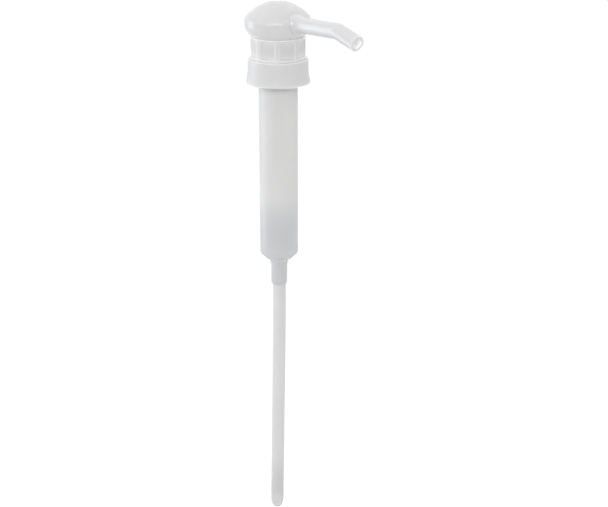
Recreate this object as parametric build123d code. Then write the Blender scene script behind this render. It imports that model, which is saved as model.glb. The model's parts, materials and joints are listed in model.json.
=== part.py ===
from build123d import *
from math import acos, asin, cos, degrees, radians, sin, tan
import os

# A lock-down condiment pump for a 38 mm screw neck, in millimetres.
# +Z is up, the pump's axis is the Z axis and the spout points along +X.
# Z = 0 is the underside of the neck gasket, where the container's rim seats.
# The head is modelled at the bottom of its stroke, as it is when locked.

# ---- driving dimensions -------------------------------------------------
STROKE = 71.0                # with the bore below, about 29.5 ml a stroke
BORE_R = 11.5                # barrel's bore
BARREL_R = 13.1              # barrel's outside
BARREL_END_Z = -129.6        # where the barrel's bottom corner starts
NECK_END_Z = -153.7          # bottom of the dip tube socket
TUBE_R = 4.55                # dip tube's outside
TUBE_BORE_R = 3.4
TUBE_END_Z = -326.9          # the dip tube's lowest point
TUBE_SET = 0.94              # degrees the tube has taken a set by, below its socket
TUBE_SET_LENGTH = 50.0       # over this length; it is straight from there down
TUBE_SET_SIDE = -130.0       # azimuth it leans towards
TUBE_CUT_SIDE = -40.0        # azimuth of the slant cut's lowest point
TUBE_CUT_HEIGHT = 8.3
STEM_R = 5.0
STEM_BORE_R = 3.6

CAP_TOP_Z = 5.6              # closure's top face
CAP_BOTTOM_Z = -10.8
CAP_TOP_R = 20.2
CAP_FOOT_R = 21.5
CAP_WALL_R = 19.0            # inside of the skirt, for a 38 mm neck
THREAD_CREST_R = 17.8
THREAD_PITCH = 25.4 / 6      # 38-400 closures have six turns an inch

COLLAR_R = 18.3
COLLAR_TOP_Z = 20.4
PANEL_FLAT = 16.9            # from the axis to a grip panel's flat
PANEL_WIDTH = 10.9
GRIP_SIDES = 8
GRIP_TURN = 4.25             # degrees the grip's pillars are turned from the spout

DOME_BASE_Z = 21.2
DOME_WIDE_Z = 29.5
DOME_TOP_Z = 43.3
DOME_R = 22.4
DOME_BASE_R = 18.2
DOME_MOUTH_R = 16.6          # inside of the rim, which snaps over the hub's plate
DOME_WALL = 1.8
DOME_SHOULDER_R = 6.8

SPOUT_Z = 30.1               # height of the spout's axis at the pump's axis
SPOUT_RISE = 1.6             # degrees above level
SPOUT_DROOP = 16.2           # degrees below level, after the bend
SPOUT_CORNER_X = 60.2
SPOUT_END_LENGTH = 19.0      # from the bend's corner to the tip
SPOUT_BEND_R = 9.0
SPOUT_R = 5.2
SPOUT_TIP_R = 5.3
SPOUT_BORE_R = 3.2
SPOUT_ROOT_R = 5.9
SPOUT_ROOT_START = 17.2      # distances along the spout from the pump's axis
SPOUT_FLARE_START = 20.5
SPOUT_FLARE_END = 28.5
TENON_R = 4.6                # pushes into the hub
TENON_START = 10.1

RUN = 0.05                   # radial clearance of a running or push fit
GAP = 0.3                    # clearance between pieces that only pass

BOSS_R = 7.4                 # hub's stem socket
BOSS_TOP_Z = 35.8
PLATE_LOW_Z = 22.0           # hub's plate, which closes the dome's mouth
PLATE_TOP_Z = 23.6
RIB_LOW_Z = 36.2             # dome's inner ribs rest just over the hub's boss
SKIRT_R = 12.4               # hub's lock skirt
SKIRT_LOW_Z = 14.4
LUG_R = 13.9
LUG_TOP_Z = 16.2
LUG_SPAN = 40.0
LUGS = 3
RAMP_R = 12.75               # inside of the collar's ramps, over the lugs
RAMP_LOW_Z = 16.7
RAMP_TOP_Z = 18.6
RAMP_SPAN = 66.0

SPOUT_RING_AT = 12.65        # spout's O-ring, along the spout from the pump's axis
SPOUT_RING_WIRE_R = 0.4
SPOUT_GROOVE_WIDTH = 1.3
SPOUT_GROOVE_DEPTH = 0.8

STEM_TOP_Z = 26.8
STEM_FOOT_Z = -85.2
PISTON_TOP_Z = -77.3
PISTON_LOW_Z = -94.9
PISTON_CORE_R = 8.0
PISTON_RIM_R = 10.2          # piston's two rigid rims, above and below the seal
CHAMBER_R = 4.2              # outlet ball's room
CAGE_LOW_Z = -86.5           # step in the core that the outlet cage sits on
CAGE_R = 4.8
OUTLET_BALL_R = 3.175        # outlet ball, 1/4 inch
OUTLET_BALL_Z = -92.78

FLANGE_R = 17.4              # barrel's flange, under the closure's top
FLANGE_LOW_Z = 1.5
FLANGE_TOP_Z = 3.5
HUG_R = 13.4                 # barrel where the gasket grips it
MOUTH_R = 12.5               # barrel's mouth, which holds the guide
MOUTH_TOP_Z = 11.0
MOUTH_WALL_R = 15.0
SNAP_R = 15.35               # barrel's bead, which the collar snaps over
NECK_TOP_R = 5.7             # barrel's socket for the dip tube
NECK_R = 5.6
SOCKET_TOP_Z = -138.0
GUSSETS = 6
GUSSET_HALF = 0.55
VENT_R = 0.8
VENT_Z = -9.0
VENT_SIDE = 138.0            # azimuth of the air vent

CAGE_SEAT_Z = -128.0         # barrel's ledge under the inlet cage
SPRING_LOW_Z = -126.6        # top of the inlet cage's flange
SPRING_TOP_Z = -96.7         # underside of the retainer's rim
SPRING_WIRE_R = 0.65
SPRING_MEAN_R = 8.8
SPRING_TURNS = 16
INLET_THROAT_R = 6.3
SEAT_BALL_R = 3.97           # inlet ball, 5/16 inch
SEAT_BALL_Z = -132.32

GUIDE_BORE_R = 5.3
GUIDE_TUBE_R = 7.2
GUIDE_TOP_Z = 19.2
GUIDE_RING_Z = 7.8
GUIDE_RING_R = 12.03
GUIDE_RING_WIRE_R = 0.46
THREAD_START_Z = -8.4
THREAD_TURNS = 1.5


# ---- helpers --------------------------------------------------------------
def turned(points):
    """A solid of revolution about Z from its outline of (radius, height) points."""
    outline = Polyline(*[(r, 0, z) for r, z in points], close=True)
    return revolve(make_face(outline), Axis.Z)


def ring(outer, inner, low, high):
    """A plain ring between two heights."""
    return turned([(inner, low), (outer, low), (outer, high), (inner, high)])


def rod(radius, low, high):
    """A plain round bar on the Z axis."""
    return turned([(0, low), (radius, low), (radius, high), (0, high)])


def around(shape, count, first=0.0):
    """Copies of a shape, evenly spaced about Z."""
    return [Rot(0, 0, first + 360 / count * k) * shape for k in range(count)]


def sector(outer, inner, low, high, span):
    """A piece of a ring, a number of degrees wide, centred on +X."""
    corners = [(inner, 0, low), (outer, 0, low), (outer, 0, high), (inner, 0, high)]
    outline = Polyline(*corners, close=True)
    return Rot(0, 0, -span / 2) * revolve(make_face(outline), Axis.Z, span)


def save(node, shape):
    """One node's STEP file."""
    shape.label = node
    export_step(shape, f"parts/{node}.step")


# ---- the head: dome, hub, spout, stem -------------------------------------------
def crown_radius():
    """Radius of the dome's crown, tangent to its shoulder."""
    shoulder_x = DOME_R - DOME_SHOULDER_R
    rise = DOME_TOP_Z - DOME_WIDE_Z
    return (shoulder_x**2 + rise**2 - DOME_SHOULDER_R**2) / (2 * (rise - DOME_SHOULDER_R))


def dome_arcs(inset, mouth_r):
    """One side of the dome's outline, offset inwards: flank, shoulder and crown, all tangent."""
    shoulder_x = DOME_R - DOME_SHOULDER_R
    rise = DOME_TOP_Z - DOME_WIDE_Z
    crown_r = crown_radius()
    turn = degrees(asin((crown_r - rise) / (crown_r - DOME_SHOULDER_R)))
    narrowing = DOME_R - DOME_BASE_R
    drop = DOME_WIDE_Z - DOME_BASE_Z
    flank_r = (narrowing**2 + drop**2) / (2 * narrowing)
    low = degrees(acos((mouth_r - DOME_R + flank_r) / (flank_r - inset)))
    side = Plane.XZ
    flank = side * CenterArc((DOME_R - flank_r, DOME_WIDE_Z), flank_r - inset, -low, low)
    shoulder = side * CenterArc((shoulder_x, DOME_WIDE_Z), DOME_SHOULDER_R - inset, 0, turn)
    crown = side * CenterArc((0, DOME_TOP_Z - crown_r), crown_r - inset, turn, 90 - turn)
    return flank, shoulder, crown


def spout_plane(along):
    """A plane across the spout, at a distance from the pump's axis along the spout."""
    slope = radians(SPOUT_RISE)
    origin = (along * cos(slope), 0, SPOUT_Z + along * sin(slope))
    return Plane(origin=origin, z_dir=(cos(slope), 0, sin(slope)), x_dir=(0, 1, 0))


def along_spout(radius, start, end):
    """A round bar on the spout's straight axis."""
    base = (Align.CENTER, Align.CENTER, Align.MIN)
    return spout_plane(start) * Cylinder(radius, end - start, align=base)


def head_dome():
    """Glossy button: a thin dome with a round window for the spout and crossed ribs inside."""
    flank, shoulder, crown = dome_arcs(0, DOME_BASE_R)
    inner_flank, inner_shoulder, inner_crown = dome_arcs(DOME_WALL, DOME_MOUTH_R)
    mouth = Vector(DOME_MOUTH_R, 0, DOME_BASE_Z)
    rim = ThreePointArc(flank @ 0, (flank @ 0 + mouth) / 2 - Vector(0, 0, 0.5), mouth)
    lip = Line(mouth, inner_flank @ 0)
    top = Line(crown @ 1, inner_crown @ 1)
    outline = [flank, shoulder, crown, top, inner_crown, inner_shoulder, inner_flank, lip, rim]
    dome = revolve(make_face(outline), Axis.Z)
    window = along_spout(SPOUT_ROOT_R + 0.2, TENON_START, SPOUT_FLARE_END)
    dome = dome - window
    rib_top = DOME_TOP_Z - 1
    rib = Pos(0, 0, (RIB_LOW_Z + rib_top) / 2) * Box(24, 1.4, rib_top - RIB_LOW_Z)
    room = Pos(0, 0, rib_top - crown_radius()) * Sphere(crown_radius())
    for angle in (45, 135):
        dome = dome + (Rot(0, 0, angle) * rib & room)
    return dome


def nozzle_hub():
    """Inner part of the head: stem socket, spout socket and lock skirt with three lugs."""
    boss_low = 20.4
    boss = rod(BOSS_R, boss_low, BOSS_TOP_Z)
    arm = along_spout(TENON_R + 1.2, 0, SPOUT_ROOT_START - 0.2)
    plate = rod(DOME_MOUTH_R - 0.1, PLATE_LOW_Z, PLATE_TOP_Z)
    skirt = ring(SKIRT_R, SKIRT_R - 1.5, SKIRT_LOW_Z, PLATE_LOW_Z + 0.2)
    body = boss + arm + plate + skirt
    lug = sector(LUG_R, SKIRT_R - 0.4, SKIRT_LOW_Z, LUG_TOP_Z, LUG_SPAN)
    for piece in around(lug, LUGS, 180 / LUGS):
        body = body + piece
    socket = rod(STEM_R, boss_low - 0.4, STEM_TOP_Z + 0.2)
    riser = rod(STEM_BORE_R, boss_low - 0.4, SPOUT_Z + SPOUT_BORE_R + 0.5)
    passage = along_spout(SPOUT_BORE_R, 0, SPOUT_ROOT_START)
    tenon_seat = along_spout(TENON_R + RUN, TENON_START - 0.1, SPOUT_ROOT_START)
    return body - socket - riser - passage - tenon_seat


def spout_path():
    """Centre line of the spout after its straight run: the bend and the drooping end."""
    slope = radians(SPOUT_RISE)
    fall = radians(SPOUT_DROOP)
    corner = Vector(SPOUT_CORNER_X, 0, SPOUT_Z + SPOUT_CORNER_X * tan(slope))
    start = corner - Vector(cos(slope), 0, sin(slope)) * 12
    tip = corner + Vector(cos(fall), 0, -sin(fall)) * SPOUT_END_LENGTH
    return FilletPolyline(start, corner, tip, radius=SPOUT_BEND_R)


def spout_root():
    """Collar and trumpet flare where the spout leaves the dome."""
    widening = SPOUT_ROOT_R - SPOUT_R
    length = SPOUT_FLARE_END - SPOUT_FLARE_START
    flare_r = (widening**2 + length**2) / (2 * widening)
    slope = asin(length / flare_r)
    outer = Polyline(
        (SPOUT_R, 0, SPOUT_FLARE_END), (0, 0, SPOUT_FLARE_END), (0, 0, SPOUT_ROOT_START),
        (SPOUT_ROOT_R, 0, SPOUT_ROOT_START), (SPOUT_ROOT_R, 0, SPOUT_FLARE_START))
    wide = (SPOUT_ROOT_R, 0, SPOUT_FLARE_START)
    narrow = (SPOUT_R, 0, SPOUT_FLARE_END)
    middle_r = SPOUT_R + flare_r * (1 - cos(slope / 2))
    middle = (middle_r, 0, SPOUT_FLARE_END - flare_r * sin(slope / 2))
    flare = ThreePointArc(wide, middle, narrow)
    return spout_plane(0) * revolve(make_face([outer, flare]), Axis.Z)


def spout_tube():
    """Spout: tenon, flared root, straight run, bend, and an end that widens slightly."""
    path = spout_path()
    start_along = (path @ 0 - Vector(0, 0, SPOUT_Z)).length
    lead, bend, last = path.edges()
    end_plane = Plane(origin=last @ 0, z_dir=last % 0, x_dir=(0, 1, 0))
    base = (Align.CENTER, Align.CENTER, Align.MIN)
    first = Plane(origin=path @ 0, z_dir=path % 0, x_dir=(0, 1, 0))
    curve = Wire([lead, bend])
    outside = sweep(first * Circle(SPOUT_R), path=curve)
    outside = outside + along_spout(SPOUT_R, SPOUT_ROOT_START, start_along)
    outside = outside + along_spout(TENON_R, TENON_START, SPOUT_FLARE_START)
    outside = outside + spout_root()
    outside = outside + end_plane * Cone(SPOUT_R, SPOUT_TIP_R, last.length, align=base)
    inside = sweep(first * Circle(SPOUT_BORE_R), path=curve)
    inside = inside + along_spout(SPOUT_BORE_R, TENON_START - 1, start_along)
    inside = inside + end_plane * Cylinder(SPOUT_BORE_R, last.length + 1, align=base)
    near = SPOUT_RING_AT - SPOUT_GROOVE_WIDTH / 2
    far = SPOUT_RING_AT + SPOUT_GROOVE_WIDTH / 2
    groove = along_spout(TENON_R + 1, near, far)
    groove = groove - along_spout(TENON_R - SPOUT_GROOVE_DEPTH, near - 1, far + 1)
    return outside - inside - groove


def spout_o_ring():
    """Seal in the tenon's groove."""
    mean_r = TENON_R - SPOUT_GROOVE_DEPTH + SPOUT_RING_WIRE_R + 0.02
    return spout_plane(SPOUT_RING_AT) * Torus(mean_r, SPOUT_RING_WIRE_R)


def stem():
    """Hollow plunger rod, with a bead at its foot that turns in the piston."""
    bead_r = 5.4
    return turned([
        (STEM_BORE_R, STEM_FOOT_Z), (STEM_R - 0.4, STEM_FOOT_Z), (STEM_R, STEM_FOOT_Z + 0.4),
        (STEM_R, -83.4), (bead_r, -83.0), (bead_r, -82.2), (STEM_R, -81.8),
        (STEM_R, STEM_TOP_Z), (STEM_BORE_R, STEM_TOP_Z),
    ])


# ---- the piston ---------------------------------------------------------------------
def piston_body():
    """Rigid core of the piston: stem socket above, ball chamber below."""
    bore = STEM_R + RUN
    plug_r = 5.65
    plug_top = -91.9
    rim_low = -79.0
    return turned([
        (PISTON_CORE_R, PISTON_LOW_Z), (plug_r, PISTON_LOW_Z), (plug_r, plug_top),
        (CHAMBER_R, plug_top), (CHAMBER_R, CAGE_LOW_Z), (CAGE_R, CAGE_LOW_Z),
        (CAGE_R, -85.3), (bore, -84.85), (bore, -83.5), (5.5, -83.05), (5.5, -82.15),
        (bore, -81.7), (bore, -78.0), (5.6, PISTON_TOP_Z), (PISTON_RIM_R, PISTON_TOP_Z),
        (PISTON_RIM_R, rim_low), (PISTON_CORE_R, rim_low),
    ])


def piston_seal():
    """Soft sleeve with an upper and a lower wiping lip."""
    lip = BORE_R - RUN
    inner = PISTON_CORE_R + RUN
    top = -79.1
    return turned([
        (inner, PISTON_LOW_Z), (9.4, PISTON_LOW_Z), (9.8, -92.6), (10.6, -94.6), (lip, -94.6),
        (lip, -94.0), (10.5, -90.4), (10.5, -84.0), (lip, -80.4), (lip, -79.8), (10.6, -79.8),
        (9.8, -81.8), (9.4, top), (inner, top),
    ])


def piston_retainer():
    """Foot of the piston: clamps the seal, seats the outlet ball and guides the spring."""
    throat = 2.4
    plug_r = 5.6
    plug_top = -92.0
    sleeve_r = 6.3
    foot = -118.0
    rim_top = -95.0
    return turned([
        (CHAMBER_R, plug_top), (throat, rim_top), (throat, -97.0), (STEM_BORE_R, -98.5),
        (STEM_BORE_R, foot), (sleeve_r - 0.6, foot), (sleeve_r, foot + 1.5),
        (sleeve_r, SPRING_TOP_Z), (PISTON_RIM_R, SPRING_TOP_Z), (PISTON_RIM_R, rim_top),
        (plug_r, rim_top), (plug_r, plug_top),
    ])


def outlet_cage():
    """Disc with three ports that stops the outlet ball's lift."""
    low = CAGE_LOW_Z + RUN
    high = STEM_FOOT_Z - 0.15
    disc = rod(CAGE_R - RUN, low, high)
    port = sector(3.5, 1.5, low - 1, high + 1, 80)
    for hole in around(port, 3):
        disc = disc - hole
    return disc


def outlet_ball():
    """Ball at rest on the retainer's cone."""
    return Pos(0, 0, OUTLET_BALL_Z) * Sphere(OUTLET_BALL_R)


# ---- the barrel and what it holds ---------------------------------------------------
def cylinder():
    """Barrel: neck and flange above, bore, bottom cone, ball seat and tube socket."""
    throat = 3.0
    barrel = turned([
        (BORE_R, CAGE_SEAT_Z), (BORE_R, FLANGE_LOW_Z), (MOUTH_R, 2.2), (MOUTH_R, MOUTH_TOP_Z),
        (MOUTH_WALL_R - 0.4, MOUTH_TOP_Z), (MOUTH_WALL_R, MOUTH_TOP_Z - 0.4),
        (MOUTH_WALL_R, 9.4), (SNAP_R, 9.0), (SNAP_R, 8.4), (MOUTH_WALL_R, 8.0),
        (MOUTH_WALL_R, FLANGE_TOP_Z), (FLANGE_R, FLANGE_TOP_Z), (FLANGE_R, FLANGE_LOW_Z),
        (HUG_R, FLANGE_LOW_Z), (HUG_R, -1.4), (BARREL_R, -1.8), (BARREL_R, BARREL_END_Z),
        (12.4, -131.2), (6.6, -134.2), (5.8, -136.4), (NECK_TOP_R, -140.0), (NECK_R, -152.4),
        (NECK_R - 0.6, NECK_END_Z), (TUBE_R, NECK_END_Z), (TUBE_R, SOCKET_TOP_Z),
        (throat, SOCKET_TOP_Z), (throat, -135.0), (INLET_THROAT_R, -131.0),
        (INLET_THROAT_R, CAGE_SEAT_Z),
    ])
    gusset = Plane.XZ * make_face(Polyline(
        (5.3, -134.0), (12.0, -131.4), (8.6, -134.8), (6.9, -136.5), (6.0, -138.3),
        (5.6, -139.6), (5.3, -139.6), close=True))
    rib = extrude(gusset, GUSSET_HALF, both=True)
    for web in around(rib, GUSSETS, 18):
        barrel = barrel + web
    vent = Pos(BARREL_R, 0, VENT_Z) * Rot(0, 90, 0) * Cylinder(VENT_R, 8)
    return barrel - Rot(0, 0, VENT_SIDE) * vent


def inlet_cage():
    """Retainer over the inlet ball; the spring stands on its flange."""
    inner = INLET_THROAT_R + 0.1
    outer = 7.6
    lid_low = -124.4
    top = -123.1
    flange = ring(BORE_R - 0.2, inner, CAGE_SEAT_Z, SPRING_LOW_Z)
    wall = ring(outer, inner, SPRING_LOW_Z - 0.4, top)
    lid = ring(outer, 2.6, lid_low, top)
    cage = flange + wall + lid
    window = sector(outer + 1.4, inner - 1.4, SPRING_LOW_Z, lid_low, 60)
    for piece in around(window, 4, 45):
        cage = cage - piece
    return cage


def inlet_ball():
    """Ball at rest on the barrel's seat."""
    return Pos(0, 0, SEAT_BALL_Z) * Sphere(SEAT_BALL_R)


def return_spring():
    """Stainless compression spring, between the inlet cage and the piston's foot."""
    low = SPRING_LOW_Z + SPRING_WIRE_R + 0.02
    high = SPRING_TOP_Z - SPRING_WIRE_R - 0.02
    pitch = (high - low) / SPRING_TURNS
    path = Helix(pitch, high - low, SPRING_MEAN_R, center=(0, 0, low))
    section = Plane(origin=path @ 0, z_dir=path % 0) * Circle(SPRING_WIRE_R)
    return sweep(section, path=path, is_frenet=True)


def dip_tube():
    """Suction tube: a slight set below its socket, then straight, and cut on a slant."""
    top_z = SOCKET_TOP_Z - 0.2
    turn = radians(TUBE_SET)
    set_r = TUBE_SET_LENGTH / turn
    straight = Line((0, 0, top_z), (0, 0, NECK_END_Z))
    bend = ThreePointArc(
        (0, 0, NECK_END_Z),
        (set_r * (1 - cos(turn / 2)), 0, NECK_END_Z - set_r * sin(turn / 2)),
        (set_r * (1 - cos(turn)), 0, NECK_END_Z - set_r * sin(turn)))
    foot_x = (bend @ 1).X + ((bend @ 1).Z - TUBE_END_Z) * tan(turn)
    run = Line(bend @ 1, (foot_x + 4 * tan(turn), 0, TUBE_END_Z - 4))
    curve = Wire([straight, bend, run])
    section = Plane(origin=(0, 0, top_z), z_dir=(0, 0, -1))
    outside = sweep(section * Circle(TUBE_R), path=curve)
    bore = sweep(section * Circle(TUBE_BORE_R), path=curve)
    tube = Rot(0, 0, TUBE_SET_SIDE) * (outside - bore)
    lean = radians(TUBE_SET_SIDE)
    foot = Vector(foot_x * cos(lean), foot_x * sin(lean), TUBE_END_Z + TUBE_CUT_HEIGHT / 2)
    slope = TUBE_CUT_HEIGHT / (2 * TUBE_R)
    toward = radians(TUBE_CUT_SIDE)
    cut = Plane(origin=foot, z_dir=(-cos(toward) * slope, -sin(toward) * slope, -1))
    below = cut * Box(60, 60, 40, align=(Align.CENTER, Align.CENTER, Align.MIN))
    return tube - below


def neck_gasket():
    """Flat sealing washer under the barrel's flange."""
    return ring(FLANGE_R, HUG_R, 0, FLANGE_LOW_Z)


# ---- guide, seals, collar and closure --------------------------------------------------
def stem_guide():
    """Bushing in the barrel's mouth: centres the stem and stops the piston at the top."""
    foot = -6.0
    plug_r = MOUTH_R - RUN
    groove_r = GUIDE_RING_R - GUIDE_RING_WIRE_R - 0.02
    groove_low = GUIDE_RING_Z - 0.8
    groove_top = GUIDE_RING_Z + 0.8
    rim_low = MOUTH_TOP_Z + RUN
    rim_top = 12.3
    wiper_r = 6.6
    wiper_seat = 16.6
    return turned([
        (GUIDE_BORE_R, foot), (GUIDE_TUBE_R, foot), (GUIDE_TUBE_R, groove_top),
        (10.6, groove_top), (10.6, 2.4), (plug_r, 2.4), (plug_r, groove_low),
        (groove_r, groove_low), (groove_r, groove_top), (plug_r, groove_top),
        (plug_r, rim_low), (14.4, rim_low), (14.4, rim_top), (GUIDE_TUBE_R, rim_top),
        (GUIDE_TUBE_R, GUIDE_TOP_Z), (wiper_r, GUIDE_TOP_Z), (wiper_r, wiper_seat),
        (GUIDE_BORE_R, wiper_seat),
    ])


def guide_o_ring():
    """Seal between the guide and the barrel's mouth."""
    return Pos(0, 0, GUIDE_RING_Z) * Torus(GUIDE_RING_R, GUIDE_RING_WIRE_R)


def stem_wiper():
    """Lip seal that wipes the stem at the top of the guide."""
    foot = 16.65
    lip = STEM_R + RUN
    return turned([
        (5.4, foot), (6.55, foot), (6.55, GUIDE_TOP_Z), (6.2, GUIDE_TOP_Z), (6.0, 17.8),
        (5.7, 17.8), (lip, 19.0), (lip, 18.2),
    ])


def lock_collar():
    """Octagonal grip ring that holds the guide down and locks the head's three lugs."""
    low = CAP_TOP_Z + GAP
    top = COLLAR_TOP_Z
    edge = 0.8
    well_r = LUG_R + GAP
    floor_low = 12.35
    floor_top = 13.8
    snap_r = SNAP_R + 0.1
    wall_r = MOUTH_WALL_R + RUN
    body = turned([
        (snap_r, low), (COLLAR_R - 0.4, low), (COLLAR_R, low + 0.4), (COLLAR_R, top - edge),
        (COLLAR_R - edge, top), (well_r, top), (well_r, floor_top), (9.5, floor_top),
        (9.5, floor_low), (wall_r, floor_low), (wall_r, 9.45), (snap_r, 9.05),
    ])
    height = top - low - 2.6
    side = Plane(origin=(PANEL_FLAT, 0, (top + low) / 2), z_dir=(1, 0, 0), x_dir=(0, 1, 0))
    panel = extrude(side * RectangleRounded(PANEL_WIDTH, height, 2.0), 4)
    for recess in around(panel, GRIP_SIDES, GRIP_TURN + 180 / GRIP_SIDES):
        body = body - recess
    ramp = sector(well_r + 0.4, RAMP_R, RAMP_LOW_Z, RAMP_TOP_Z, RAMP_SPAN)
    for piece in around(ramp, LUGS):
        body = body + piece
    return body


def closure_cap():
    """38 mm screw closure, free to turn between the collar and the barrel's flange."""
    shoulder = 1.0
    hole_r = MOUTH_WALL_R + GAP
    top_inner = FLANGE_TOP_Z + GAP
    shoulder_in = Vector(CAP_TOP_R - shoulder, 0, CAP_TOP_Z)
    shoulder_mid = Vector(CAP_TOP_R - 0.3 * shoulder, 0, CAP_TOP_Z - 0.3 * shoulder)
    shoulder_out = Vector(CAP_TOP_R, 0, CAP_TOP_Z - shoulder)
    flare_start = Vector(20.5, 0, -3.6)
    flare_end = Vector(CAP_FOOT_R, 0, CAP_BOTTOM_Z + 1.3)
    side = Polyline((hole_r, 0, top_inner), (hole_r, 0, CAP_TOP_Z), shoulder_in)
    corner = ThreePointArc(shoulder_in, shoulder_mid, shoulder_out)
    wall = Line(shoulder_out, flare_start)
    flare = ThreePointArc(flare_start, (20.8, 0, -6.7), flare_end)
    foot = Polyline(
        flare_end, (CAP_FOOT_R, 0, CAP_BOTTOM_Z + 0.4), (CAP_FOOT_R - 0.4, 0, CAP_BOTTOM_Z),
        (CAP_WALL_R + 0.6, 0, CAP_BOTTOM_Z), (CAP_WALL_R, 0, CAP_BOTTOM_Z + 0.6),
        (CAP_WALL_R, 0, top_inner), (hole_r, 0, top_inner))
    shell = revolve(make_face([side, corner, wall, flare, foot]), Axis.Z)
    start = THREAD_START_Z
    rise = THREAD_TURNS * THREAD_PITCH
    path = Helix(THREAD_PITCH, rise, CAP_WALL_R, center=(0, 0, start))
    tooth = make_face(Polyline(
        (CAP_WALL_R + 0.3, 0, start - 1.3), (THREAD_CREST_R, 0, start - 0.5),
        (THREAD_CREST_R, 0, start + 0.5), (CAP_WALL_R + 0.3, 0, start + 1.3), close=True))
    return shell + sweep(tooth, path=path, is_frenet=True)


PIECES = [
    head_dome, nozzle_hub, spout_tube, spout_o_ring, stem,
    piston_body, piston_seal, piston_retainer, outlet_cage, outlet_ball,
    cylinder, inlet_cage, inlet_ball, return_spring, dip_tube, neck_gasket,
    stem_guide, guide_o_ring, stem_wiper, lock_collar, closure_cap,
]

os.makedirs("parts", exist_ok=True)
for make in PIECES:
    save(make.__name__, make())
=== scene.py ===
import json
import math

import bmesh
import bpy
from mathutils import Matrix, Vector


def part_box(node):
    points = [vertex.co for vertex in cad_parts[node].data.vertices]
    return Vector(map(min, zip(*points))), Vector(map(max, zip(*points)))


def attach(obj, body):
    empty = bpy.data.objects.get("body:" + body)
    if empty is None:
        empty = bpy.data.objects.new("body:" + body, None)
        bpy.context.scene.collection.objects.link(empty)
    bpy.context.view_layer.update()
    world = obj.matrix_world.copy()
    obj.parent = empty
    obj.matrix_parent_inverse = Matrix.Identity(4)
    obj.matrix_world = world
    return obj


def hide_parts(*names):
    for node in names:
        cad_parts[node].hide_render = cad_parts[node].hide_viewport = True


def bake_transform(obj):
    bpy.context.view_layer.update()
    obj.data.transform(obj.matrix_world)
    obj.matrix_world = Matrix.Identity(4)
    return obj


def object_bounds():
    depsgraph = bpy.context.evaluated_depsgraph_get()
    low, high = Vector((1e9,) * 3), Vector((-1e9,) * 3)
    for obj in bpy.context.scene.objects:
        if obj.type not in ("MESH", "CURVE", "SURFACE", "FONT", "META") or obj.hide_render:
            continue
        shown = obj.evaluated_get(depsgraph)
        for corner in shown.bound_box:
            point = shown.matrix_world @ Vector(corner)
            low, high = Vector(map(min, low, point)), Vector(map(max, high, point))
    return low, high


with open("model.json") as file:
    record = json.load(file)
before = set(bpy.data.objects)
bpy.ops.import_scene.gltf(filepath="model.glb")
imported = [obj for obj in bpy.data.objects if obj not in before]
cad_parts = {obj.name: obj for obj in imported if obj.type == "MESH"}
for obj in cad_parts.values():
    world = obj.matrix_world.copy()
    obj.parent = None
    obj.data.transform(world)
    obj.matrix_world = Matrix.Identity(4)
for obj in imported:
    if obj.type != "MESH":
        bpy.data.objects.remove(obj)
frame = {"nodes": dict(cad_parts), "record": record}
cad_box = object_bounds()

MM = 0.001
UP = Vector((0, 0, 1))
MERGE_DISTANCE = 0.0001 * MM
ON_AXIS = 0.001 * MM         # an outline's point with a smaller radius is on the axis


# ---- places, from the CAD frame ----------------------------------------------------------
def low(node):
    """A node's lowest height."""
    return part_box(node)[0].z


def high(node):
    """A node's highest height."""
    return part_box(node)[1].z


def reach(node):
    """A round node's outside radius, from its box across the pump."""
    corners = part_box(node)
    return (corners[1].y - corners[0].y) / 2


# ---- directions and angles ---------------------------------------------------------------
def spoke(angle):
    """A level unit vector at an angle about Z."""
    return Vector((math.cos(angle), math.sin(angle), 0))


def slope(angle):
    """A unit vector at an angle above level, in the spout's plane."""
    return Vector((math.cos(angle), 0, math.sin(angle)))


def heading(azimuth, elevation):
    """A unit vector from the pump toward a viewer or a light at these angles."""
    level = math.cos(elevation)
    return Vector((math.sin(azimuth) * level, -math.cos(azimuth) * level, math.sin(elevation)))


def around(count):
    """Evenly spaced angles of a full turn."""
    return [2 * math.pi * k / count for k in range(count)]


def from_nearest(angle, period):
    """An angle's distance from the nearest whole multiple of a period."""
    return abs((angle + period / 2) % period - period / 2)


def smoothstep(low_end, high_end, value):
    """0 below low_end, 1 above high_end, and smooth between."""
    t = min(max((value - low_end) / (high_end - low_end), 0), 1)
    return t * t * (3 - 2 * t)


# ---- mesh building -----------------------------------------------------------------------
def place_object(name, data):
    """A new object in the scene."""
    item = bpy.data.objects.new(name, data)
    bpy.context.scene.collection.objects.link(item)
    return item


def make_piece(name, verts, faces):
    """A new mesh object from vertices and faces, normals outward, smooth."""
    mesh = bpy.data.meshes.new(name)
    mesh.from_pydata(verts, [], faces)
    shell = bmesh.new()
    shell.from_mesh(mesh)
    bmesh.ops.remove_doubles(shell, verts=shell.verts, dist=MERGE_DISTANCE)
    bmesh.ops.recalc_face_normals(shell, faces=shell.faces)
    shell.to_mesh(mesh)
    shell.free()
    for face in mesh.polygons:
        face.use_smooth = True
    return place_object(name, mesh)


def soften_shading(piece):
    """Lets large faces set the normals, so that flats stay flat beside small fillets."""
    modifier = piece.modifiers.new("weighted", "WEIGHTED_NORMAL")
    modifier.weight = 60
    modifier.keep_sharp = True


def cut(piece, tool):
    """Takes the tool's volume out of a piece and deletes the tool."""
    modifier = piece.modifiers.new("cut", "BOOLEAN")
    modifier.operation = "DIFFERENCE"
    modifier.solver = "EXACT"
    modifier.object = tool
    graph = bpy.context.evaluated_depsgraph_get()
    result = bpy.data.meshes.new_from_object(piece.evaluated_get(graph))
    piece.modifiers.remove(modifier)
    old = piece.data
    piece.data = result
    bpy.data.meshes.remove(old)
    bpy.data.objects.remove(tool)
    for face in piece.data.polygons:
        face.use_smooth = True


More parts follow.
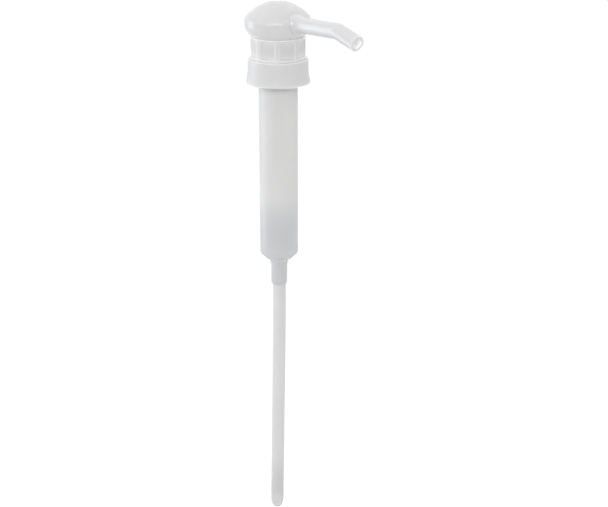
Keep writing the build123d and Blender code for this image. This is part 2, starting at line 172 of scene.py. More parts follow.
def add_loop(verts, points):
    """Adds points to a list of vertices and returns their numbers in it."""
    first = len(verts)
    verts += [tuple(point) for point in points]
    return list(range(first, len(verts)))


def stitch(loops):
    """Faces between each loop of vertex numbers and the next, without repeated corners."""
    faces = []
    for first, second in zip(loops, loops[1:]):
        for k in range(len(first)):
            j = (k + 1) % len(first)
            corners = tuple(dict.fromkeys((first[k], first[j], second[j], second[k])))
            if len(corners) > 2:
                faces.append(corners)
    return faces


def line_points(start, end, step):
    """Points from start towards end, without the end, at most a step apart."""
    length = math.dist(start, end)
    count = max(1, math.ceil(length / step))
    return [tuple(a + (b - a) * k / count for a, b in zip(start, end)) for k in range(count)]


def fillet_arc(before, here, after, fillet, arc_steps):
    """Points of an arc that rounds the corner at here, between its two neighbours."""
    back, on = before - here, after - here
    half = back.angle(on) / 2
    trim = min(fillet / math.tan(half), 0.49 * back.length, 0.49 * on.length)
    radius = trim * math.tan(half)
    inward = (back.normalized() + on.normalized()).normalized()
    centre = here + inward * (radius / math.sin(half))
    first = here + back.normalized() * trim - centre
    last = here + on.normalized() * trim - centre
    turn = first.angle_signed(last)
    spins = [Matrix.Rotation(-turn * k / arc_steps, 2) for k in range(arc_steps + 1)]
    return [tuple(centre + spin @ first) for spin in spins]


def rounded(corners, step=3 * MM, arc_steps=6, fine=None, fine_step=0.3 * MM):
    """A closed outline from (radius, height, fillet) corners, each fillet an arc.

    Its straight stretches have a point at every step, or at every fine_step where
    fine(radius, height) is true of a stretch's middle.
    """
    rows = []
    count = len(corners)
    for k, (x, z, fillet) in enumerate(corners):
        here = Vector((x, z))
        before, after = Vector(corners[k - 1][:2]), Vector(corners[(k + 1) % count][:2])
        rows.append(fillet_arc(before, here, after, fillet, arc_steps) if fillet else [tuple(here)])
    outline = []
    for k, row in enumerate(rows):
        start, stop = row[-1], rows[(k + 1) % count][0]
        detailed = fine and fine((start[0] + stop[0]) / 2, (start[1] + stop[1]) / 2)
        outline += row[:-1]
        outline += line_points(start, stop, fine_step if detailed else step)
    return outline


def lathe(name, outline, segments=256, reshape=None):
    """A closed outline of (radius, height) turned about Z.

    reshape(radius, height, angle) may move a radius.
    """
    verts, rings = [], []
    for r, z in outline:
        if r < ON_AXIS:
            rings.append(add_loop(verts, [(0, 0, z)]) * segments)
            continue
        ring = []
        for angle in around(segments):
            radius = reshape(r, z, angle) if reshape else r
            ring.append((radius * math.cos(angle), radius * math.sin(angle), z))
        rings.append(add_loop(verts, ring))
    return make_piece(name, verts, stitch(rings + rings[:1]))


def tube(name, stations, segments=96):
    """A pipe along stations of (centre, direction, outer radius, inner radius), its ends closed."""
    outside = [(centre, direction, outer) for centre, direction, outer, _ in stations]
    inside = [(centre, direction, inner) for centre, direction, _, inner in reversed(stations)]
    side = Vector((0, 1, 0))
    verts, loops = [], []
    for centre, direction, radius in outside + inside:
        way = direction.normalized()
        across = (side - way * side.dot(way)).normalized()
        other = way.cross(across)
        loops.append(add_loop(verts, [
            centre + (across * math.cos(a) + other * math.sin(a)) * radius
            for a in around(segments)]))
    return make_piece(name, verts, stitch(loops + loops[:1]))


# ---- materials ---------------------------------------------------------------------------
def new_material(name):
    """A material, its node tree, its shader and the object's own coordinates."""
    material = bpy.data.materials.new(name)
    material.use_nodes = True
    tree = material.node_tree
    place = tree.nodes.new("ShaderNodeTexCoord").outputs["Object"]
    return material, tree, tree.nodes["Principled BSDF"], place


def put(tree, socket, value):
    """Links a socket, or sets a number or a colour."""
    if isinstance(value, bpy.types.NodeSocket):
        tree.links.new(value, socket)
    elif isinstance(value, tuple):
        socket.default_value = (*value, 1)
    else:
        socket.default_value = value


def noise(tree, place, scale, detail, roughness=0.5):
    """A fractal noise from 0 to 1."""
    texture = tree.nodes.new("ShaderNodeTexNoise")
    texture.inputs["Scale"].default_value = scale
    texture.inputs["Detail"].default_value = detail
    texture.inputs["Roughness"].default_value = roughness
    tree.links.new(place, texture.inputs["Vector"])
    return texture.outputs["Fac"]


def mixed(tree, factor, first, second):
    """A colour between two, each a colour or a socket."""
    mix = tree.nodes.new("ShaderNodeMix")
    mix.data_type = "RGBA"
    put(tree, mix.inputs["Factor"], factor)
    put(tree, mix.inputs["A"], first)
    put(tree, mix.inputs["B"], second)
    return mix.outputs["Result"]


def ranged(tree, value, start=0.0, stop=1.0, bottom=0.0, top=1.0, smooth=False):
    """A value mapped from start..stop to bottom..top."""
    ramp = tree.nodes.new("ShaderNodeMapRange")
    ramp.interpolation_type = "SMOOTHSTEP" if smooth else "LINEAR"
    names = "From Min", "From Max", "To Min", "To Max"
    for name, number in zip(names, (start, stop, bottom, top)):
        ramp.inputs[name].default_value = number
    tree.links.new(value, ramp.inputs["Value"])
    return ramp.outputs["Result"]


def plastic(name, colour, roughness, grain=0.008, bump=0.006, transmission=0.0, subsurface=0.0,
            scatter=2 * MM, coat=0.0, painted_crevice_light=0.97, gap=6 * MM, painted_shade_below=None):
    """Moulded plastic: faint flow marks in the colour, a slightly uneven gloss and a fine skin.

    In gaps and corners the colour is lifted to the crevice level: painted light that stands
    in for light passing through the plastic; gap is how wide a gap can be.
    The last argument is (bottom, top, colour), a painted shade: the colour fades to it from the top
    height to the bottom one.
    """
    material, tree, shader, place = new_material(name)
    warmth = (0.006, 0, -0.006)
    dark = tuple(max(c - grain, 0) for c in colour)
    light = tuple(min(c + grain + w, 1) for c, w in zip(colour, warmth))
    shade = mixed(tree, noise(tree, place, scale=38, detail=3, roughness=0.45), dark, light)
    # Painted shade: the colour fades toward a darker one below a given height.
    if painted_shade_below:
        split = tree.nodes.new("ShaderNodeSeparateXYZ")
        tree.links.new(place, split.inputs["Vector"])
        bottom, top, painted_shade_colour = painted_shade_below
        level = ranged(tree, split.outputs["Z"], bottom, top, smooth=True)
        shade = mixed(tree, level, painted_shade_colour, shade)
    # Painted light: where ambient occlusion finds a gap or corner, the colour is lifted toward a
    # set level.
    corners = tree.nodes.new("ShaderNodeAmbientOcclusion")
    corners.samples = 8
    corners.inputs["Distance"].default_value = gap
    openness = ranged(tree, corners.outputs["AO"], start=0.3)
    shade = mixed(tree, openness, (painted_crevice_light, painted_crevice_light, painted_crevice_light), shade)
    put(tree, shader.inputs["Base Color"], shade)
    haze = noise(tree, place, scale=210, detail=4)
    gloss = ranged(tree, haze, bottom=max(roughness - 0.05, 0.02), top=roughness + 0.07)
    put(tree, shader.inputs["Roughness"], gloss)
    relief = tree.nodes.new("ShaderNodeBump")
    relief.inputs["Strength"].default_value = bump
    relief.inputs["Distance"].default_value = 0.05 * MM
    tree.links.new(noise(tree, place, scale=900, detail=2), relief.inputs["Height"])
    tree.links.new(relief.outputs["Normal"], shader.inputs["Normal"])
    shader.inputs["IOR"].default_value = 1.49
    shader.inputs["Transmission Weight"].default_value = transmission
    shader.inputs["Subsurface Weight"].default_value = subsurface
    shader.inputs["Subsurface Scale"].default_value = scatter
    shader.inputs["Subsurface Radius"].default_value = (1, 1, 1)
    shader.inputs["Coat Weight"].default_value = coat
    shader.inputs["Coat Roughness"].default_value = 0.08
    return material


def steel(name, colour, roughness):
    """Drawn or polished stainless steel, with fine marks."""
    material, tree, shader, place = new_material(name)
    shader.inputs["Metallic"].default_value = 1
    marks = noise(tree, place, scale=700, detail=3)
    uneven = ranged(tree, marks, bottom=roughness, top=roughness + 0.15)
    put(tree, shader.inputs["Roughness"], uneven)
    dull = tuple(c * 0.85 for c in colour)
    put(tree, shader.inputs["Base Color"], mixed(tree, marks, dull, colour))
    return material


# Every plastic below lifts its colour in gaps and corners as painted light; the head and the tube
# take a lower level there.
HEAD = plastic("head_gloss", (0.53, 0.53, 0.535), 0.14, subsurface=1.0, scatter=3 * MM, coat=0.2,
               painted_crevice_light=0.75)
COLLAR = plastic("collar_plastic", (0.525, 0.525, 0.53), 0.18, subsurface=1.0, scatter=3 * MM)
CLOSURE = plastic("closure_plastic", (0.53, 0.53, 0.535), 0.42, subsurface=1.0, scatter=3 * MM)
# The spout's bore: a lighter copy of the head's plastic, painted light standing in for light
# through its thin wall.
BORE_PAINTED_LIGHT = plastic("head_bore_painted_light", (0.86, 0.86, 0.86), 0.5, subsurface=1.0, scatter=7 * MM)
HUB = plastic("hub_plastic", (0.60, 0.60, 0.60), 0.3)
# The barrel: painted light fills the shade under the closure out to 16 mm, and painted shade
# darkens it toward the bottom, where the spring inside shows through.
BARREL = plastic("barrel_plastic", (0.765, 0.765, 0.765), 0.35, transmission=0.5, subsurface=0.5,
                 gap=16 * MM, painted_shade_below=(-115 * MM, -85 * MM, (0.67, 0.68, 0.70)))
# The dip tube: painted shade darkens it toward its cut end, and its gaps take a lower level of
# painted light.
TUBE = plastic("tube_plastic", (0.83, 0.83, 0.83), 0.36, transmission=0.5, subsurface=0.5,
               painted_crevice_light=0.75, painted_shade_below=(-330 * MM, -280 * MM, (0.62, 0.615, 0.61)))
ROD = plastic("rod_plastic", (0.62, 0.62, 0.62), 0.25)
NATURAL = plastic("natural_plastic", (0.55, 0.55, 0.53), 0.4)
SOFT = plastic("soft_plastic", (0.55, 0.56, 0.58), 0.45)
GASKET = plastic("gasket_rubber", (0.52, 0.52, 0.50), 0.6, grain=0.04, bump=0.1)
SPRING = steel("spring_steel", (0.50, 0.50, 0.51), 0.22)
BALL = steel("ball_steel", (0.60, 0.60, 0.61), 0.08)

FINISHES = {
    "hub_plastic": HUB, "rod_plastic": ROD, "natural_plastic": NATURAL, "soft_plastic": SOFT,
    "gasket_rubber": GASKET, "ball_steel": BALL,
}


def finish_piece(piece, material, body, node, weighted=True):
    """Gives a new piece its material and body, and hides the CAD node it stands for."""
    piece.data.materials.clear()
    piece.data.materials.append(material)
    if weighted:
        soften_shading(piece)
    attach(piece, body)
    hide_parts(node)


def finish_hidden_pieces():
    """Gives the CAD pieces that scene.py doesn't rebuild the materials of their slots."""
    for part in frame["record"]["subparts"]:
        material = FINISHES.get(part["material_slot"])
        if material:
            for held in frame["nodes"][part["node"]].material_slots:
                held.material = material


# ---- the spout's line, shared by the spout and the dome's window -------------------------
RISE = math.radians(1.6)             # the spout's slope upward, before its bend
DROOP = math.radians(16.2)           # and downward, after it
SPOUT_R = 5.2 * MM
SPOUT_ROOT_R = 5.9 * MM
SPOUT_TIP_R = 5.3 * MM
SPOUT_BORE_R = 3.2 * MM
TENON_R = 4.6 * MM
BEND_R = 9 * MM
TIP_LENGTH = 19.0 * MM               # from the bend's corner to the outlet


def spout_corner():
    """The bend's corner, worked out from the outlet's place in the CAD box."""
    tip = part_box("spout_tube")
    corner_x = tip[1].x - SPOUT_TIP_R * math.sin(DROOP) - TIP_LENGTH * math.cos(DROOP)
    corner_z = tip[0].z + SPOUT_TIP_R * math.cos(DROOP) + TIP_LENGTH * math.sin(DROOP)
    return corner_x, corner_z


CORNER_X, CORNER_Z = spout_corner()
SPOUT_Z = CORNER_Z - CORNER_X * math.tan(RISE)       # the spout's height at the pump's axis

DOME_BASE = low("head_dome") + 0.5 * MM
DOME_WIDE = DOME_BASE + 8.3 * MM                     # where the dome is widest
DOME_R = reach("head_dome")
DOME_BASE_R = 18.2 * MM
DOME_SHOULDER = 6.8 * MM                             # the dome's arc above its widest place
DOME_FLARE = DOME_R - DOME_BASE_R
DOME_FLANK = (DOME_FLARE**2 + (DOME_WIDE - DOME_BASE)**2) / (2 * DOME_FLARE)     # and below it


def outside_dome(spot):
    """How far a point lies outside the dome's flank and shoulder."""
    arc = DOME_SHOULDER if spot.z > DOME_WIDE else DOME_FLANK
    from_axis = math.hypot(spot.x, spot.y)
    return math.hypot(from_axis - DOME_R + arc, spot.z - DOME_WIDE) - arc


def spout_point(along):
    """A point on the spout's straight axis."""
    return slope(RISE) * along + UP * SPOUT_Z


def spout_radius(along):
    """Outside radius: a trumpet at the root, then parallel."""
    flare_start, flare_end = 20.5 * MM, 28.5 * MM
    widening, length = SPOUT_ROOT_R - SPOUT_R, flare_end - flare_start
    flare_r = (widening**2 + length**2) / (2 * widening)
    left = min(max(flare_end - along, 0), length)
    return SPOUT_R + flare_r - math.sqrt(flare_r**2 - left**2)


def from_spout_axis(spot):
    """Distance of a point from the spout's centre line, its bend taken as a corner."""
    away = spot - Vector((CORNER_X, 0, CORNER_Z))
    arms = slope(math.pi + RISE), slope(-DROOP)
    return min((away - arm * max(away.dot(arm), 0)).length for arm in arms)


def blend_root(piece):
    """Widens the spout in a small fillet where it meets the dome."""
    fillet, length, sink, steepness = 1.5 * MM, 2.6 * MM, 0.5 * MM, 2.5
    outer_r, last_x = TENON_R + 0.2 * MM, 30 * MM
    for vertex in piece.data.vertices:
        spot = vertex.co
        away = spot - spout_point((spot - spout_point(0)).dot(slope(RISE)))
        beyond = outside_dome(spot)
        if away.length > outer_r and -sink < beyond < length and spot.x < last_x:
            share = 1 - max(beyond, 0) / length
            vertex.co = spot + away.normalized() * fillet * share**steepness


def spout_stations():
    """Centres, directions and radii along the spout, from its tenon to its lip."""
    turn = RISE + DROOP
    trim = BEND_R * math.tan(turn / 2)
    tenon_start, start = 10.1 * MM, 17.2 * MM
    bend_start, last_run = CORNER_X / math.cos(RISE) - trim, TIP_LENGTH - trim
    straight_steps, bend_steps, tip_steps, lip_steps = 150, 32, 24, 5
    lip, lip_bore_share = 0.35 * MM, 0.2
    stations = [(spout_point(along), slope(RISE), TENON_R, SPOUT_BORE_R)
                for along in (tenon_start, start)]
    for k in range(straight_steps + 1):
        along = start + (bend_start - start) * k / straight_steps
        stations.append((spout_point(along), slope(RISE), spout_radius(along), SPOUT_BORE_R))
    centre = spout_point(bend_start) - slope(RISE + math.pi / 2) * BEND_R
    for k in range(1, bend_steps + 1):
        angle = RISE - turn * k / bend_steps
        spot = centre + slope(angle + math.pi / 2) * BEND_R
        stations.append((spot, slope(angle), SPOUT_R, SPOUT_BORE_R))
    bend_end, direction = stations[-1][:2]
    for k in range(1, tip_steps + 1):
        along = (last_run - lip) * k / tip_steps
        radius = SPOUT_R + (SPOUT_TIP_R - SPOUT_R) * smoothstep(0, 1, along / last_run)
        stations.append((bend_end + direction * along, direction, radius, SPOUT_BORE_R))
    for k in range(1, lip_steps + 1):
        angle = math.pi / 2 * k / lip_steps
        along = last_run - lip + lip * math.sin(angle)
        shrink = lip * (1 - math.cos(angle))
        stations.append((bend_end + direction * along, direction, SPOUT_TIP_R - shrink,
                         SPOUT_BORE_R + lip_bore_share * shrink))
    return stations


def spout():
    """Bent spout with a trumpet root, a smooth bend and a slightly wider end with a rounded lip."""
    piece = tube("spout", spout_stations())
    finish_piece(piece, HEAD, "head", "spout_tube")
    # The bore's faces take the lighter material: painted light inside the spout.
    piece.data.materials.append(BORE_PAINTED_LIGHT)
    for face in piece.data.polygons:
        if from_spout_axis(face.center) < SPOUT_BORE_R + 0.05 * MM:
            face.material_index = 1
    blend_root(piece)


# ---- the dome ----------------------------------------------------------------------------
def dome():
    """Glossy domed button with a thin wall, a rounded rim and the spout's window."""
    top, wall, mouth_r, rim_drop = high("head_dome"), 1.8 * MM, 16.6 * MM, 0.78 * MM
    flank_steps, shoulder_steps, crown_steps, rim_steps = 20, 24, 32, 8
    shoulder_x, rise = DOME_R - DOME_SHOULDER, top - DOME_WIDE
    crown = (shoulder_x**2 + rise**2 - DOME_SHOULDER**2) / (2 * (rise - DOME_SHOULDER))
    turn = math.asin((crown - rise) / (crown - DOME_SHOULDER))

    def side(inset, edge_r):
        """One side of the wall, from its edge up to the crown: flank, shoulder and crown arcs."""
        low_angle = math.acos((edge_r - DOME_R + DOME_FLANK) / (DOME_FLANK - inset))
        rows = []
        for k in range(flank_steps):
            angle = -low_angle + low_angle * k / flank_steps
            rows.append((DOME_R - DOME_FLANK + (DOME_FLANK - inset) * math.cos(angle),
                         DOME_WIDE + (DOME_FLANK - inset) * math.sin(angle)))
        for k in range(shoulder_steps):
            angle = turn * k / shoulder_steps
            rows.append((shoulder_x + (DOME_SHOULDER - inset) * math.cos(angle),
                         DOME_WIDE + (DOME_SHOULDER - inset) * math.sin(angle)))
        for k in range(crown_steps + 1):
            angle = turn + (math.pi / 2 - turn) * k / crown_steps
            rows.append((max((crown - inset) * math.cos(angle), 0),
                         top - crown + (crown - inset) * math.sin(angle)))
        return rows

    rim = [(mouth_r, DOME_BASE)]
    middle, half = (DOME_BASE_R + mouth_r) / 2, (DOME_BASE_R - mouth_r) / 2
    for k in range(1, rim_steps):
        angle = math.pi * k / rim_steps
        rim.append((middle - half * math.cos(angle), DOME_BASE - rim_drop * math.sin(angle)))
    piece = lathe("dome", side(0, DOME_BASE_R) + side(wall, mouth_r)[::-1] + rim, 320)
    window_start, window_end = 12 * MM, 30 * MM
    window_r, pinhole_r = SPOUT_ROOT_R - 0.05 * MM, 0.0001 * MM      # all but solid
    cut(piece, tube("window", [(spout_point(along), slope(RISE), window_r, pinhole_r)
                               for along in (window_start, window_end)]))
    finish_piece(piece, HEAD, "head", "head_dome", weighted=False)


# ---- the lock collar ---------------------------------------------------------------------
GRIP_TURN = math.radians(4.25)       # the first pillar's turn from the spout's line
CLOSE_GAP = 0.31 * MM                # takes up the CAD's running clearance over the closure


def collar():
    """Grip ring with eight flat recessed panels between rounded pillars, and the lock ramps."""
    bottom, top = low("lock_collar") - CLOSE_GAP, high("lock_collar")
    radius, bore_r, hole_r, neck_r, mouth_r = 18.3 * MM, 14.2 * MM, 9.5 * MM, 15.05 * MM, 15.45 * MM
    web_top, web_bottom = bottom + 7.9 * MM, bottom + 6.45 * MM
    panel_r, flat = 17 * MM, 16.9 * MM
    corners = [
        (mouth_r, bottom, 0.2 * MM), (radius, bottom, 0), (radius, top, 0.5 * MM),
        (bore_r, top, 0.4 * MM), (bore_r, web_top, 0.3 * MM), (hole_r, web_top, 0.2 * MM),
        (hole_r, web_bottom, 0.2 * MM), (neck_r, web_bottom, 0), (neck_r, bottom + 3.55 * MM, 0),
        (mouth_r, bottom + 3.15 * MM, 0),
    ]
    outline = rounded(corners, fine=lambda r, z: r > panel_r, fine_step=0.22 * MM)
    half_width, corner, edge, panels = 5.45 * MM, 2.0 * MM, 0.28 * MM, 8
    half_height, middle = (top - bottom - 2.6 * MM) / 2, (top + bottom) / 2
    ramp_low, ramp_high, ramp_edge = top - 3.5 * MM, top - 1.6 * MM, 0.15 * MM
    ramp_r, ramp_half, ramp_fade, ramps = 12.75 * MM, math.radians(33), 0.02, 3

    def panel(r, z, angle):
        """The radius on a grip panel: a flat with rounded corners and soft edges."""
        eighth = 2 * math.pi / panels
        turn = from_nearest(angle - GRIP_TURN - eighth / 2, eighth)
        across = r * math.sin(turn) - half_width + corner
        up = abs(z - middle) - half_height + corner
        outside = math.hypot(max(across, 0), max(up, 0)) + min(max(across, up), 0) - corner
        depth = 1 - smoothstep(-edge, edge, outside)
        return r + (min(flat / math.cos(turn), r) - r) * depth

    def ramp(r, z, angle):
        """The radius on the bore, brought inward at the ramps that hold the head's lugs down."""
        turn = from_nearest(angle, 2 * math.pi / ramps)
        band = smoothstep(ramp_low - ramp_edge, ramp_low + ramp_edge, z)
        band *= 1 - smoothstep(ramp_high - ramp_edge, ramp_high + ramp_edge, z)
        band *= 1 - smoothstep(ramp_half - ramp_fade, ramp_half + ramp_fade, turn)
        return r - (bore_r - ramp_r) * band

    def shape(r, z, angle):
        if r > panel_r:
            return panel(r, z, angle)
        on_bore = abs(r - bore_r) < 0.05 * MM and z > web_top + 0.4 * MM
        return ramp(r, z, angle) if on_bore else r

    piece = lathe("collar", outline, 576, shape)
    finish_piece(piece, COLLAR, "barrel_assembly", "lock_collar", weighted=False)


# ---- the closure -------------------------------------------------------------------------
def closure():
    """Screw closure: smooth skirt with a flared foot, and its thread inside."""
    bottom, top, foot_r = low("closure_cap"), high("closure_cap"), reach("closure_cap")
    hole_r, wall_r, crest_r = 15.3 * MM, 19.0 * MM, 17.8 * MM
    pitch, turns, start = 25.4 / 6 * MM, 1.5, bottom + 2.4 * MM
    crest_half, foot_half, fade = 0.45 * MM, 1.25 * MM, 0.06
    ceiling = top - 1.8 * MM
    outer = [
        (hole_r, top, 0.2 * MM), (20.2 * MM, top, 1.0 * MM), (20.45 * MM, top - 9.0 * MM, 3 * MM),
        (20.9 * MM, bottom + 3.6 * MM, 3 * MM), (foot_r, bottom + 1.4 * MM, 0.6 * MM),
        (foot_r, bottom, 0.5 * MM),
    ]
    inner = [
        (19.6 * MM, bottom, 0.3 * MM), (wall_r, bottom + 0.6 * MM, 0), (wall_r, ceiling, 0.3 * MM),
        (hole_r, ceiling, 0),
    ]

    def thread(r, z, angle):
        """Brings the inner wall inward along a helix that fades at both ends."""
        if abs(r - wall_r) > 0.02 * MM:
            return r
        bump = 0
        for lap in range(math.ceil(turns)):
            turn = angle / (2 * math.pi) + lap
            if turn > turns:
                continue
            strength = smoothstep(0, fade, turn) * (1 - smoothstep(turns - fade, turns, turn))
            away = abs(z - start - pitch * turn)
            bump = max(bump, strength * (1 - smoothstep(crest_half, foot_half, away)))
        return r - (wall_r - crest_r) * bump

    piece = lathe("closure", rounded(outer + inner, step=0.3 * MM), 288, thread)
    finish_piece(piece, CLOSURE, "closure", "closure_cap")


# ---- the barrel and the dip tube ---------------------------------------------------------
def barrel():
    """Milky barrel: neck, flange, bore, bottom cone with small gussets, and the tube socket."""
    end, top, flange_r = low("cylinder"), high("cylinder"), reach("cylinder")
    floor_z, corner_z = end + 25.7 * MM, end + 24.1 * MM
    bore_r, mouth_r, neck_r, bead_r = 11.5 * MM, 12.5 * MM, 15.0 * MM, 15.35 * MM
    flange_top, flange_bottom, hug_r, wall_r = top - 7.5 * MM, top - 9.5 * MM, 13.4 * MM, 13.1 * MM
    socket_r, throat_r, chamber_r, socket_top = 4.55 * MM, 3.0 * MM, 6.3 * MM, end + 15.7 * MM
    corners = [
        (bore_r, floor_z, 0.5 * MM), (bore_r, flange_bottom, 0), (mouth_r, top - 8.8 * MM, 0),
        (mouth_r, top, 0.2 * MM), (neck_r, top, 0.4 * MM), (neck_r, top - 1.6 * MM, 0),
        (bead_r, top - 2.0 * MM, 0.1 * MM), (bead_r, top - 2.6 * MM, 0.1 * MM),
        (neck_r, top - 3.0 * MM, 0), (neck_r, flange_top, 0.3 * MM),
        (flange_r, flange_top, 0.3 * MM), (flange_r, flange_bottom, 0.3 * MM),
        (hug_r, flange_bottom, 0.2 * MM), (hug_r, top - 12.4 * MM, 0.3 * MM),
        (wall_r, top - 12.8 * MM, 0.3 * MM), (wall_r, corner_z, 0.8 * MM),
        (12.4 * MM, corner_z - 1.6 * MM, 1.2 * MM), (6.6 * MM, corner_z - 4.6 * MM, 1.2 * MM),
        (5.8 * MM, corner_z - 6.8 * MM, 1.5 * MM), (5.7 * MM, corner_z - 10.4 * MM, 0),
        (5.6 * MM, end + 1.3 * MM, 0.3 * MM), (5.0 * MM, end, 0.15 * MM),
        (socket_r, end, 0.15 * MM), (socket_r, socket_top, 0.2 * MM),
        (throat_r, socket_top, 0.2 * MM), (throat_r, socket_top + 3 * MM, 0.2 * MM),
        (chamber_r, socket_top + 7 * MM, 0.3 * MM), (chamber_r, floor_z, 0.2 * MM),
    ]
    rib_top, rib_bottom, rib_half = corner_z - 1.8 * MM, corner_z - 10.0 * MM, 0.6 * MM
    ribs, rib_turn = 6, math.radians(18)
    crest_line = [(0, 12.0), (3.4, 8.6), (5.1, 6.9), (6.9, 6.0), (8.2, 5.6)]
    inner_r, outer_r, chamber_low = 5.2 * MM, 12.6 * MM, end + 18 * MM

    def gusset(r, z, angle):
        """Brings the cone's outside out to the ribs' crests, given as (drop, radius) in mm."""
        in_chamber = z > chamber_low and r < chamber_r + 0.05 * MM
        if not rib_bottom < z < rib_top or not inner_r <= r <= outer_r or in_chamber:
            return r
        drop = (rib_top - z) / MM
        for (near, wide), (far, thin) in zip(crest_line, crest_line[1:]):
            if near <= drop <= far:
                crest = (wide + (thin - wide) * (drop - near) / (far - near)) * MM
        across = r * math.sin(from_nearest(angle - rib_turn, 2 * math.pi / ribs))
        share = 1 - smoothstep(rib_half * 0.5, rib_half * 1.5, across)
        return r + max(crest - r, 0) * share

    outline = rounded(corners, arc_steps=5, fine=lambda r, z: end + 12 * MM < z < corner_z,
                      fine_step=0.5 * MM)
    piece = lathe("barrel", outline, 360, gusset)
    finish_piece(piece, BARREL, "barrel_assembly", "cylinder")


def suction_tube():
    """Dip tube: straight in its socket, then with a slight set, and cut on a slant."""
    top, bottom, free = high("dip_tube"), low("dip_tube"), low("cylinder")
    outer, inner, edge = 4.55 * MM, 3.4 * MM, 0.08 * MM
    set_angle, set_length, lean = math.radians(0.94), 50 * MM, spoke(math.radians(-130))
    slant, slant_way, above_slant = 8.3 * MM, spoke(math.radians(-40)), 1 * MM
    segments, steps = 96, 60

    def centre(z):
        """The tube's centre at a height: curved below the socket, then straight."""
        below = max(free - z, 0)
        curved = min(below, set_length)
        sideways = curved**2 * set_angle / (2 * set_length) + (below - curved) * math.tan(set_angle)
        return lean * sideways + UP * z

    def level_ring(radius, z):
        return [centre(z) + spoke(a) * radius for a in around(segments)]

    def slanted_ring(radius):
        points = []
        for out in [spoke(a) * radius for a in around(segments)]:
            z = bottom + slant / 2 - slant_way.dot(out) * slant / (2 * outer)
            points.append(centre(max(z, bottom)) + out)
        return points

    heights = [top - (top - bottom - slant - above_slant) * k / steps for k in range(steps + 1)]
    rings = [level_ring(outer, z) for z in heights]
    rings += [slanted_ring(outer - edge), slanted_ring(inner + edge)]
    rings += [level_ring(inner, z) for z in reversed(heights)]
    verts = []
    loops = [add_loop(verts, ring) for ring in rings]
    piece = make_piece("suction_tube", verts, stitch(loops + loops[:1]))
    finish_piece(piece, TUBE, "barrel_assembly", "dip_tube")


# ---- the spring --------------------------------------------------------------------------
def spring():
    """Compression spring, its coils spread between the CAD spring's ends."""
    bottom, top = low("return_spring"), high("return_spring")
    wire = 0.65 * MM
    mean = reach("return_spring") - wire
    turns, per_turn, sides = 16, 40, 12
    steps = turns * per_turn
    verts, loops = [], []
    for k in range(steps + 1):
        outward = spoke(2 * math.pi * turns * k / steps)
        centre = outward * mean + UP * (bottom + wire + (top - bottom - 2 * wire) * k / steps)
        loops.append(add_loop(verts, [
            centre + (outward * math.cos(a) + UP * math.sin(a)) * wire for a in around(sides)]))
    faces = stitch(loops) + [tuple(loops[0]), tuple(reversed(loops[-1]))]
    piece = make_piece("coil_spring", verts, faces)
    piece.data.materials.append(SPRING)
    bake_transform(piece)
    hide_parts("return_spring")


# ---- camera, light and floor -------------------------------------------------------------
AZIMUTH = math.radians(50)
PITCH = math.radians(19)
DISTANCE = 1.040
LENS = 88.6
SIDE_STEP = 17.25 * MM       # the aim passes this far to the right of the pump's axis
AIM_SHARE = 0.5263           # and at this share of the pump's height

HORIZON_GLOW = 0.95          # the studio's brightness at the horizon
SKY_GLOW = 0.37              # how much brighter it is overhead
SIDE_GLOW = 0.05             # and how much brighter to the camera's left

FLOOR_HALF = 30.0
FLOOR_DROP = 0.12            # the floor's distance below the pump
FLOOR_COLOUR = 0.65
FLOOR_GLOW = 0.25


def camera():
    """The photo's three-quarter view from above, with a long lens."""
    data = bpy.data.cameras.new("camera")
    data.lens = LENS
    data.clip_start = 0.05
    item = place_object("camera", data)
    height = cad_box[0][2] + (cad_box[1][2] - cad_box[0][2]) * AIM_SHARE
    item.location = spoke(AZIMUTH) * SIDE_STEP + UP * height + heading(AZIMUTH, PITCH) * DISTANCE
    item.rotation_euler = (math.pi / 2 - PITCH, 0, AZIMUTH)
    bpy.context.scene.camera = item


def area_light(name, azimuth, elevation, distance, size, energy, colour=(1, 1, 1), aim=0.0):
    """A soft light, placed round the pump relative to the camera's azimuth, in degrees."""
    data = bpy.data.lights.new(name, "AREA")
    data.shape = "RECTANGLE"
    data.size, data.size_y = size
    data.energy = energy
    data.color = colour
    item = place_object(name, data)
    way = heading(AZIMUTH + math.radians(azimuth), math.radians(elevation))
    item.location = UP * aim + way * distance
    item.rotation_euler = way.to_track_quat("Z", "Y").to_euler()


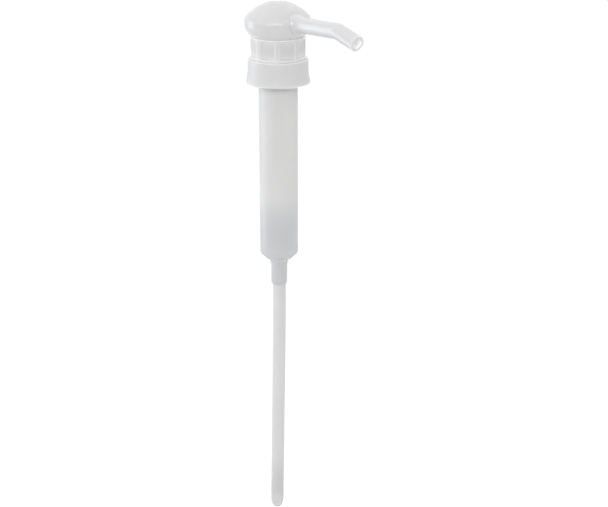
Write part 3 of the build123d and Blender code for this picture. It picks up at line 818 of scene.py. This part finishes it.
def floor():
    """Pale floor under the pump."""
    z = cad_box[0][2] - FLOOR_DROP
    corners = [(x * FLOOR_HALF, y * FLOOR_HALF, z) for x, y in ((-1, -1), (1, -1), (1, 1), (-1, 1))]
    mesh = bpy.data.meshes.new("floor")
    mesh.from_pydata(corners, [], [(0, 1, 2, 3)])
    pale = bpy.data.materials.new("pale_floor")
    pale.use_nodes = True
    shader = pale.node_tree.nodes["Principled BSDF"]
    shader.inputs["Base Color"].default_value = (FLOOR_COLOUR, FLOOR_COLOUR, FLOOR_COLOUR, 1)
    shader.inputs["Specular IOR Level"].default_value = 0
    shader.inputs["Roughness"].default_value = 1
    shader.inputs["Emission Color"].default_value = (1, 1, 1, 1)
    shader.inputs["Emission Strength"].default_value = FLOOR_GLOW
    mesh.materials.append(pale)
    place_object("floor", mesh)


def studio():
    """Even pale surroundings, a little brighter overhead, and two soft lights."""
    world = bpy.data.worlds.new("studio")
    bpy.context.scene.world = world
    world.use_nodes = True
    nodes, links = world.node_tree.nodes, world.node_tree.links
    backdrop = nodes["Background"]
    backdrop.inputs["Color"].default_value = (1, 1, 1, 1)
    place = nodes.new("ShaderNodeTexCoord")
    glow = nodes.new("ShaderNodeVectorMath")
    glow.operation = "DOT_PRODUCT"
    glow.inputs[1].default_value = spoke(AZIMUTH) * -SIDE_GLOW + UP * SKY_GLOW
    links.new(place.outputs["Generated"], glow.inputs[0])
    level = nodes.new("ShaderNodeMath")
    level.inputs[1].default_value = HORIZON_GLOW
    links.new(glow.outputs["Value"], level.inputs[0])
    links.new(level.outputs["Value"], backdrop.inputs["Strength"])
    area_light("front_bar", -3, 27, 1.3, (1.0, 0.18), 4.5, aim=0.02)
    area_light("left_strip", -104, 0, 1.0, (0.35, 0.8), 2.3, (0.88, 0.93, 1.0), aim=-0.02)


# ---- the scene ---------------------------------------------------------------------------
spout()
dome()
collar()
closure()
barrel()
suction_tube()
spring()
finish_hidden_pieces()
floor()
studio()
camera()
bpy.context.scene.view_settings.view_transform = "Standard"
